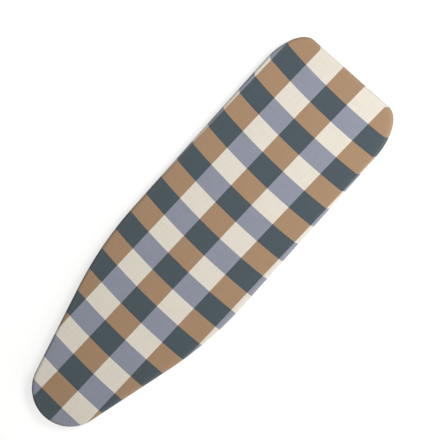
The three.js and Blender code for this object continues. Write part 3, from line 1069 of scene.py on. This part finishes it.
@dataclass
class BoundHem:
    """Bias tape folded round the cord and the raw edge, ruched with the cloth and sewn through both laps."""

    plan: BoardPlan
    gathers: HemGathers
    fold_radius: float = 2.6 * MM
    tunnel_radius: float = 1.85 * MM
    lap: float = 8 * MM
    lap_out: float = 1.4 * MM
    lap_in: float = 0.62 * MM
    lap_nose: float = 0.15 * MM
    lap_steps: int = 5
    fold_steps: int = 17
    tunnel_steps: int = 11
    ruche: float = 0.35 * MM
    hem_start: float = 41.96 * MM
    hem_start_inset: float = 6 * MM
    # Thread is about 0.3 mm thick and is drawn nearly twice that, so that the seam shows.
    stitch_pitch: float = 3.4 * MM
    stitch_length: float = 2.7 * MM
    stitch_width: float = 0.55 * MM
    stitch_sides: int = 6
    stitch_shares: tuple[float, ...] = (0, 0.14, 0.5, 0.86, 1)
    stitch_girths: tuple[float, ...] = (0, 0.75, 1, 0.75, 0)
    seam_inset: float = 37.2 * MM
    tack_stitches: int = 11
    tack_shift: float = 1.6 * MM
    tack_start: float = -9.2 * MM
    tack_slant: Point = (0.25 * MM, 0.9 * MM, 0)
    roll_inset: float = 43.6 * MM
    roll_radius: float = 0.95 * MM
    roll_shift: float = -13 * MM
    roll_step: float = 1.0 * MM
    roll_lump: float = 0.08
    roll_turn: float = 1.9
    roll_sides: int = 12

    def build(self) -> list[Piece]:
        """Makes the tape, its stitches and the rolled edge between its mouths."""
        return [self._tape(), self._stitches(), self._rolled_edge()]

    def _face(self, radius: float, gap: float, steps: int) -> Array:
        """Draws one face of the tape's section: the lower lap, round the cord and the upper lap.

        Args:
            radius: Its radius round the cord.
            gap: How far the laps lie from the middle of the cloth.
            steps: The number of corners round the cord.

        Returns:
            The inset and height of each corner from the cord's middle.
        """
        bend = math.asin(gap / radius)
        turn = np.linspace(bend - math.pi, math.pi - bend, steps)
        ends = -self.fold_radius - self.lap, -radius * math.cos(bend)
        lap = np.linspace(*ends, self.lap_steps, endpoint=False)
        return np.vstack(
            [columns(lap, -gap), radius * columns(np.cos(turn), np.sin(turn)), columns(lap[::-1], gap)]
        )

    def _place(self, inset: float, z: float) -> Array:
        """Places one line of the tape on the gathered hem.

        Args:
            inset: How far in from the outline it lies.
            z: Its height where the hem lies smooth.

        Returns:
            The line's points, as stations x 3.
        """
        out, lean = self.gathers.stand_out(self.hem_start + inset - self.hem_start_inset)
        return np.column_stack([self.plan.at(inset) + self.plan.tangent * lean[:, None], z - out])

    def _tape(self) -> Piece:
        """Lofts the tape's section along the hem, from mouth to mouth.

        Returns:
            The tape.
        """
        outer = self._face(self.fold_radius, self.lap_out, self.fold_steps)
        inner = self._face(self.tunnel_radius, self.lap_in, self.tunnel_steps)[::-1]
        nose = np.array([outer[0, 0] - self.lap_nose, (self.lap_out + self.lap_in) / 2])
        section = np.vstack([outer, nose, inner, nose * [1, -1], outer[:1]])
        fold = self.gathers.fold
        pucker = self.ruche / self.fold_radius * self.gathers.depth * swell(2 * TURN * fold)
        along = gone_along(self.plan.at(self.plan.tunnel_inset))
        lines, cuts = [], []
        for count, ((x, z), across) in enumerate(zip(section, gone_along(section))):
            line = self._place(self.plan.tunnel_inset + x, self.plan.tunnel_z + z)
            if self.lap_steps <= count < self.lap_steps + self.fold_steps:
                line -= columns(*self.plan.inward.T * x, z) * pucker[:, None]
            lines.append(line[self.plan.hem])
            cuts.append(columns(across, along)[self.plan.hem])
        bm = lay_grid(np.array(lines), np.array(cuts))
        cap_ends(bm)
        return make_piece("hem_bias_tape", bm, [TAPE], Body.COVER, "hem_binding")

    def _stitches(self) -> Piece:
        """Sews the two laps together, with a bar tack at each mouth.

        The stitches are beads on one thin tube that closes to nothing between them.

        Returns:
            The stitches.
        """
        gap = (1 - self.stitch_length / self.stitch_pitch) / 2
        ends = []
        for side in (-1, 1):
            line = self._place(self.seam_inset, self.plan.tunnel_z + side * self.lap_out)[self.plan.hem]
            seam = resampled(line, self.stitch_pitch)
            for start, end in zip(seam[1:-2], seam[2:-1]):
                ends.append((between(start, end, gap), between(end, start, gap)))
            for sign in (-1, 1):
                ends += self._bar_tack(side, sign)
        first, last = np.array(ends).transpose(1, 0, 2)[:, :, None]
        path = between(first, last, np.array(self.stitch_shares)[:, None])
        girth = np.tile(self.stitch_girths, len(ends)) * self.stitch_width / 2
        radii = np.repeat(girth[:, None], self.stitch_sides + 1, 1)
        bm = lay_grid(*tube(path.reshape(-1, 3), radii, closed=False))
        bmesh.ops.delete(bm, geom=[edge for edge in bm.edges if edge.is_wire], context="EDGES")
        bmesh.ops.recalc_face_normals(bm, faces=bm.faces)
        return make_piece("hem_stitches", bm, [THREAD], Body.COVER)

    def _bar_tack(self, side: int, sign: int) -> list[tuple[Array, Array]]:
        """Sews the close zigzag that holds the tape at one mouth.

        Args:
            side: -1 for the lower lap and 1 for the upper.
            sign: The mouth's side of the board.

        Returns:
            The ends of its stitches.
        """
        tail = self.plan.tunnel_inset - self.plan.length / 2
        y = sign * (self.plan.mouth + self.tack_shift)
        z = self.plan.tunnel_z + side * self.lap_out
        ends = []
        for count, x in enumerate(np.linspace(self.tack_start, -self.fold_radius, self.tack_stitches)):
            middle = np.array([tail + x, y, z])
            slant = np.array(self.tack_slant) * [1, 1 if count % 2 else -1, 1]
            ends.append((middle - slant, middle + slant))
        return ends

    def _rolled_edge(self) -> Piece:
        """Rolls the cotton's raw edge over where the cord comes out.

        Returns:
            The rolled edge.
        """
        count = self.plan.mouth_steps + 1
        line = self._place(self.roll_inset, self.plan.tunnel_z)[np.arange(-count, count + 1)]
        path = resampled(line, self.roll_step)
        lumps = 1 + self.roll_lump * np.sin(np.arange(len(path)) * self.roll_turn)
        radii = np.repeat((self.roll_radius * lumps)[:, None], self.roll_sides + 1, 1)
        points, _ = tube(path, radii, closed=False)
        bm = lay_grid(points, points[:, :, :2] + [0, self.roll_shift])
        cap_ends(bm)
        return make_piece("tail_rolled_edge", bm, [COTTON], Body.COVER)


@dataclass
class DrawCord:
    """The braided cord: round the hem in its tunnel, out at both mouths, through the lock to a pull loop."""

    plan: BoardPlan
    radius: float = 1.5 * MM
    strand_y: float = 1.75 * MM
    bend_radius: float = 10 * MM
    rise_start: float = -544 * MM
    rise_end: float = -522 * MM
    lock_z: float = 6.0 * MM
    fall_start: float = -479.4 * MM
    fall_end: float = -457.4 * MM
    loop_x: float = -441.4 * MM
    loop_radius: float = 7 * MM
    loop_z: float = 1.9 * MM
    run_steps: int = 24
    sides: int = 32
    strands: int = 8
    braid_step: float = 0.5 * MM
    braid_pitch: float = 2.4 * MM
    braid_depth: float = 0.16
    crown_power: float = 0.6
    hidden_crown: float = 0.7

    def build(self) -> Piece:
        """Makes the cord as one closed loop, braided where it comes out of the hem.

        Returns:
            The cord.
        """
        flat = self.plan.at(self.plan.tunnel_inset)[self.plan.hem]
        hem = columns(*flat.T, self.plan.tunnel_z)
        strand = self._strand()
        back = (strand * [1, -1, 1])[::-1][1:]
        seen = resampled(np.vstack([hem[-1:], strand, back, hem[:1]]), self.braid_step)[1:-1]
        path = np.vstack([hem, seen])
        around = np.linspace(0, self.strands, self.sides + 1)
        lay = np.arange(len(path) + 1)[:, None] * self.braid_step / self.braid_pitch
        crossed = np.cos(math.pi * (around + lay)) * np.cos(math.pi * (around - lay))
        shown = np.concatenate([np.zeros(len(hem)), np.ones(len(seen)), [0]])[:, None]
        crowns = between(self.hidden_crown, np.abs(crossed) ** self.crown_power, shown)
        points, cut = tube(path, self.radius * between(1 - self.braid_depth, 1, crowns), closed=True)
        # The crowns go onto the cord's skin as an attribute, which paints shade into the gaps between
        # strands.
        bm = lay_grid(points, cut, crowns)
        return make_piece("braided_draw_cord", bm, [BRAID], Body.COVER, "draw_cord")

    def _strand(self) -> Array:
        """Leads one strand from its mouth through the lock to the tip of the pull loop.

        Returns:
            The strand's points, as rows x 3.
        """
        share = np.linspace(0, 1, self.run_steps)
        ease = smoothstep(share)
        bend, tip = math.pi + share * QUARTER, QUARTER * (1 - share)
        bend_x, bend_y = self.bend_radius * np.cos(bend), self.bend_radius * (1 + np.sin(bend))
        tip_x, tip_y = self.loop_radius * np.cos(tip), self.loop_radius * np.sin(tip)
        low = self.plan.tunnel_z
        rise, fall = between(low, self.lock_z, ease), between(self.lock_z, self.loop_z, ease)
        widening = between(self.strand_y, self.loop_radius, ease)
        runs = [
            (self.rise_start + bend_x, self.strand_y + bend_y, low),
            (between(self.rise_start, self.rise_end, share), self.strand_y, rise),
            (between(self.fall_start, self.fall_end, share), self.strand_y, fall),
            (between(self.fall_end, self.loop_x, share), widening, self.loop_z),
            (self.loop_x + tip_x, tip_y, self.loop_z),
        ]
        return np.vstack([columns(*run) for run in runs])


@dataclass
class CordLock:
    """The sprung cord lock: a case with a blind bore, a plunger with a ribbed button, and the spring."""

    x: float = -513.2 * MM
    z: float = 6.0 * MM
    width: float = 13.6 * MM
    height: float = 11.2 * MM
    wall: float = 2 * MM
    corner: float = 3.9 * MM
    rounding: float = 1.0 * MM
    corner_segments: int = 7
    rounding_segments: int = 4
    crisp: float = math.radians(38)
    case_start: float = -15.55 * MM
    case_mouth: float = 7.55 * MM
    bore_end: float = -13.55 * MM
    slot_length: float = 10.1 * MM
    slot_height: float = 3.6 * MM
    slot_corner: float = 1.5 * MM
    slot_ease: float = 0.45 * MM
    slot_shift: float = 1.5 * MM
    stem_width: float = 9 * MM
    stem_height: float = 6.6 * MM
    stem_corner: float = 1.6 * MM
    stem_rounding: float = 0.3 * MM
    stem_end: float = -6.55 * MM
    button_inset: float = 0.5 * MM
    button_start: float = 10.85 * MM
    button_end: float = 15.35 * MM
    rib_count: int = 4
    rib_spread: float = 0.36
    rib_length: float = 0.62
    rib_width: float = 1.1 * MM
    rib_height: float = 0.45 * MM
    rib_corner: float = 0.495 * MM
    rib_rounding: float = 0.1575 * MM
    spring_start: float = -12.85 * MM
    spring_length: float = 5.7 * MM
    spring_radius: float = 2.4 * MM
    wire_radius: float = 0.4 * MM
    wire_sides: int = 12
    spring_turns: float = 3.5
    turn_steps: int = 28
    press_keep: float = 0.53

    def build(self) -> list[Piece]:
        """Makes the case, the plunger and the spring."""
        return [self._case(), self._plunger(), self._spring()]

    def _bar(
        self, bm: Mesh, size: Sequence[float], ends: tuple[float, float], corner: float, rounding: float = 0
    ) -> Verts:
        """Adds a bar along Y with rounded corners and, where asked, rounded ends.

        Args:
            bm: The mesh that the bar goes into.
            size: Its width along X and height along Z.
            ends: Where it starts and ends along Y.
            corner: The radius of its long edges.
            rounding: The radius of its end edges, or 0.

        Returns:
            The bar's vertices.
        """
        before = set(bm.verts)
        place = Matrix.Translation((self.x, sum(ends) / 2, self.z))
        place @= Matrix.Diagonal((size[0], ends[1] - ends[0], size[1], 1))
        bmesh.ops.create_cube(bm, size=1.0, matrix=place)
        passes = (True, corner, self.corner_segments), (False, rounding, self.rounding_segments)
        for lengthwise, radius, segments in passes:
            edges = []
            for edge in bm.edges:
                start, end = edge.verts
                if start not in before and (abs(start.co.y - end.co.y) > MERGE) == lengthwise:
                    edges.append(edge)
            if radius:
                bmesh.ops.bevel(
                    bm,
                    geom=edges,
                    offset=radius,
                    segments=segments,
                    profile=0.5,
                    affect="EDGES",
                    material=-1,
                )
        return [vert for vert in bm.verts if vert not in before]

    @staticmethod
    def _drawn_out(bm: Mesh, side: int, rim: float = 0) -> Verts:
        """Extrudes the flat end of a bar, which the caller then moves.

        Args:
            bm: The bar.
            side: 1 for the end towards +Y, and -1 for the other.
            rim: How far in from the end's outline the extrusion starts.

        Returns:
            The vertices to move.
        """
        end = max(bm.faces, key=lambda face: side * face.normal.y * face.calc_area())
        if rim:
            bmesh.ops.inset_region(bm, faces=[end], thickness=rim, use_even_offset=True)
        drawn = bmesh.ops.extrude_face_region(bm, geom=[end])
        bmesh.ops.delete(bm, geom=[end], context="FACES_ONLY")
        return [item for item in drawn["geom"] if isinstance(item, bmesh.types.BMVert)]

    def _cut_slot(self, piece: Piece, middle: float, width: float) -> None:
        """Cuts the slot for the two strands along X through a piece, and eases its rim.

        Args:
            piece: The piece, whose mesh is replaced.
            middle: The middle of the slot along Y.
            width: The piece's width along X.
        """
        bm = bmesh.new()
        size = np.array([self.slot_length, self.slot_height])
        rim = width / 2 - self.slot_ease
        self._bar(bm, size, (-rim, rim), self.slot_corner)
        pivot = Vector((self.x, 0, self.z))
        grow_x, grow_z = 1 + 4 * self.slot_ease / size
        for side in (-1, 1):
            flare = self._drawn_out(bm, side)
            centred = Matrix.Translation(-pivot)
            bmesh.ops.scale(bm, vec=Vector((grow_x, 1, grow_z)), space=centred, verts=flare)
            bmesh.ops.translate(bm, vec=Vector((0, side * 2 * self.slot_ease, 0)), verts=flare)
        bmesh.ops.rotate(bm, cent=pivot, matrix=Matrix.Rotation(QUARTER, 3, "Z"), verts=bm.verts)
        bmesh.ops.translate(bm, vec=Vector((0, middle, 0)), verts=bm.verts)
        cutter = put("slot", bm)
        cut = piece.modifiers.new("slot", "BOOLEAN")
        cut.operation = "DIFFERENCE"
        cut.solver = "EXACT"
        cut.object = cutter
        bpy.context.view_layer.update()
        shaped = piece.evaluated_get(bpy.context.evaluated_depsgraph_get())
        slotted = bpy.data.meshes.new_from_object(shaped)
        piece.modifiers.clear()
        piece.data = slotted
        bpy.data.objects.remove(cutter)

    def _case(self) -> Piece:
        """Makes the case, with its bore and slot.

        Returns:
            The case.
        """
        bm = bmesh.new()
        ends = self.case_start, self.case_mouth
        self._bar(bm, (self.width, self.height), ends, self.corner, self.rounding)
        floor = self._drawn_out(bm, 1, self.wall - self.rounding)
        bmesh.ops.translate(bm, vec=Vector((0, self.bore_end - self.case_mouth, 0)), verts=floor)
        bmesh.ops.recalc_face_normals(bm, faces=bm.faces)
        case = make_piece("cord_lock_case", bm, [ACETAL], Body.CORD_LOCK, "cord_lock_body")
        self._cut_slot(case, -self.slot_shift, self.width)
        case.data.set_sharp_from_angle(angle=self.crisp)
        return case

    def _plunger(self) -> Piece:
        """Makes the slotted stem, then adds the button and its ribs.

        Returns:
            The plunger.
        """
        bm = bmesh.new()
        stem = self.stem_end, (self.button_start + self.button_end) / 2
        self._bar(bm, (self.stem_width, self.stem_height), stem, self.stem_corner, self.stem_rounding)
        plunger = make_piece("cord_lock_button", bm, [ACETAL], Body.PLUNGER, "cord_lock_plunger")
        self._cut_slot(plunger, self.slot_shift, self.stem_width)
        bm = bmesh.new()
        bm.from_mesh(plunger.data)
        size = self.width - 2 * self.button_inset, self.height - 2 * self.button_inset
        ends = self.button_start, self.button_end
        self._bar(bm, size, ends, self.corner - self.button_inset, self.rounding)
        rib_size = self.rib_width, self.rib_length * size[1]
        rib_ends = self.button_end - self.rib_height, self.button_end + self.rib_height
        for share in np.linspace(-self.rib_spread, self.rib_spread, self.rib_count):
            rib = self._bar(bm, rib_size, rib_ends, self.rib_corner, self.rib_rounding)
            bmesh.ops.translate(bm, vec=Vector((share * size[0], 0, 0)), verts=rib)
        bm.to_mesh(plunger.data)
        bm.free()
        plunger.data.shade_smooth()
        plunger.data.set_sharp_from_angle(angle=self.crisp)
        return plunger

    def _spring(self) -> Piece:
        """Winds the spring between the floor of the bore and the plunger's stem.

        Returns:
            The spring.
        """
        bm = bmesh.new()
        axis = Vector((self.x, self.spring_start, self.z))
        bmesh.ops.create_circle(bm, segments=self.wire_sides, radius=self.wire_radius)
        bmesh.ops.translate(bm, vec=axis + Vector((self.spring_radius, 0, 0)), verts=bm.verts)
        steps = round(self.spring_turns * self.turn_steps)
        bmesh.ops.spin(
            bm,
            geom=[*bm.verts, *bm.edges],
            cent=axis,
            axis=(0, 1, 0),
            dvec=(0, self.spring_length / steps, 0),
            angle=self.spring_turns * TURN,
            steps=steps,
        )
        cap_ends(bm)
        spring = make_piece("cord_lock_coil", bm, [STEEL], Body.CORD_LOCK, "cord_lock_spring")
        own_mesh(spring)
        return spring


@dataclass
class Studio:
    """A pale floor, soft light from the tail end and a camera that looks straight down."""

    camera_place: Point = (-0.0872, -0.0013, 3.2128)
    camera_turn: float = math.radians(131.8)
    lens: float = 100.0
    clip_end: float = 60.0
    floor_size: float = 8.0
    floor_drop: float = 0.3 * MM
    floor_colour: str = "#A3A2A0"
    floor_lift: float = 0.74
    white_start: float = 0.75
    white_end: float = 1.9
    sky: float = 0.26
    key_place: Point = (-1.3, 0.6, 2.0)
    key_size: float = 1.2
    key_power: float = 41.0
    fill_place: Point = (0.2, 2.4, 1.3)
    fill_size: float = 1.8
    fill_power: float = 27.0

    def build(self) -> None:
        """Sets up the floor, the lights and the camera."""
        self._floor()
        self._world()
        self._lamp("soft key", self.key_place, self.key_size, self.key_power)
        self._lamp("soft fill", self.fill_place, self.fill_size, self.fill_power)
        camera = put("camera", bpy.data.cameras.new("camera"))
        camera.data.lens = self.lens
        camera.data.clip_end = self.clip_end
        camera.location = self.camera_place
        camera.rotation_euler = (0, 0, self.camera_turn)
        bpy.context.scene.camera = camera
        bpy.context.scene.view_settings.view_transform = "Standard"

    @staticmethod
    def _seen(add: AddNode) -> Socket:
        """Tells rays that show the background from rays that light the cover.

        Args:
            add: Adds a node to the material or world that asks.

        Returns:
            1 for camera, glossy and transmitted rays, and 0 for the rest.
        """
        path = add("LightPath")
        total = path["Is Camera Ray"]
        for name in ("Is Glossy Ray", "Is Transmission Ray"):
            total = add("Math", {0: total, 1: path[name]}, operation="ADD", use_clamp=True)[0]
        return total

    def _floor(self) -> None:
        """Lays the floor, lifted towards white where it is seen."""
        bm = bmesh.new()
        bmesh.ops.create_grid(bm, x_segments=1, y_segments=1, size=self.floor_size)
        bmesh.ops.translate(bm, vec=Vector((0, 0, -self.floor_drop)), verts=bm.verts)
        floor = put("floor", bm)
        paper = bpy.data.materials.new("matt white paper")
        floor.data.materials.append(paper)
        add = empty_tree(paper)
        away = add("VectorMath", {0: add("TexCoord")["Object"]}, operation="LENGTH")["Value"]
        reach = {"From Min": self.white_start, "From Max": self.white_end, "To Min": self.floor_lift}
        lift = add("MapRange", {"Value": away, **reach}, interpolation_type="SMOOTHSTEP")
        shown = add("Math", {0: self._seen(add), 1: lift[0]}, operation="MULTIPLY")
        matt = add("BsdfDiffuse", {"Color": to_linear(self.floor_colour)})
        both = add("AddShader", {0: matt[0], 1: add("Emission", {"Strength": shown[0]})[0]})
        add("OutputMaterial", {"Surface": both[0]})

    def _world(self) -> None:
        """Lights the cover evenly from all round, and shows white beyond the floor."""
        world = bpy.data.worlds.new("soft daylight")
        bpy.context.scene.world = world
        add = empty_tree(world)
        soft, white = (
            add("Background", {"Color": WHITE, "Strength": power})[0] for power in (self.sky, 1.0)
        )
        mix = add("MixShader", {0: self._seen(add), 1: soft, 2: white})
        add("OutputWorld", {"Surface": mix[0]})

    def _lamp(self, name: str, place: Point, size: float, power: float) -> None:
        """Hangs a round soft lamp that is aimed at the cover.

        Args:
            name: The lamp's name.
            place: Where it hangs.
            size: How wide it is.
            power: Its power in watts.
        """
        lamp = put(name, bpy.data.lights.new(name, "AREA"))
        lamp.data.shape = "DISK"
        lamp.data.size = size
        lamp.data.energy = power
        lamp.location = place
        lamp.rotation_euler = (-Vector(place)).to_track_quat("-Z", "Y").to_euler()


def main() -> None:
    """Builds the cover, piece by piece, and its studio."""
    logging.basicConfig(level=logging.INFO, format="%(name)s: %(message)s")
    Studio().build()
    plan = BoardPlan()
    gathers = HemGathers(plan)
    cord = DrawCord(plan).build()
    foam = PadLayer(
        plan, "foam_layer", "foam_pad", FOAM, bottom=30.5 * MM, top=34.5 * MM, unevenness=0.2 * MM
    ).build()
    felt = PadLayer(
        plan, "felt_layer", "felt_underlay", FELT, bottom=27.2 * MM, top=30.2 * MM, unevenness=0.4 * MM
    ).build()
    cover = CoverCloth(plan, gathers)
    cloth = cover.build()
    hem = BoundHem(plan, gathers).build()
    lock = CordLock().build()
    width, length, area = cover.flat_size()
    for piece in (cord, foam, felt, cloth, *hem, *lock):
        LOG.info("%s: %d faces", piece.name, len(piece.data.polygons))


if __name__ == "__main__":
    main()
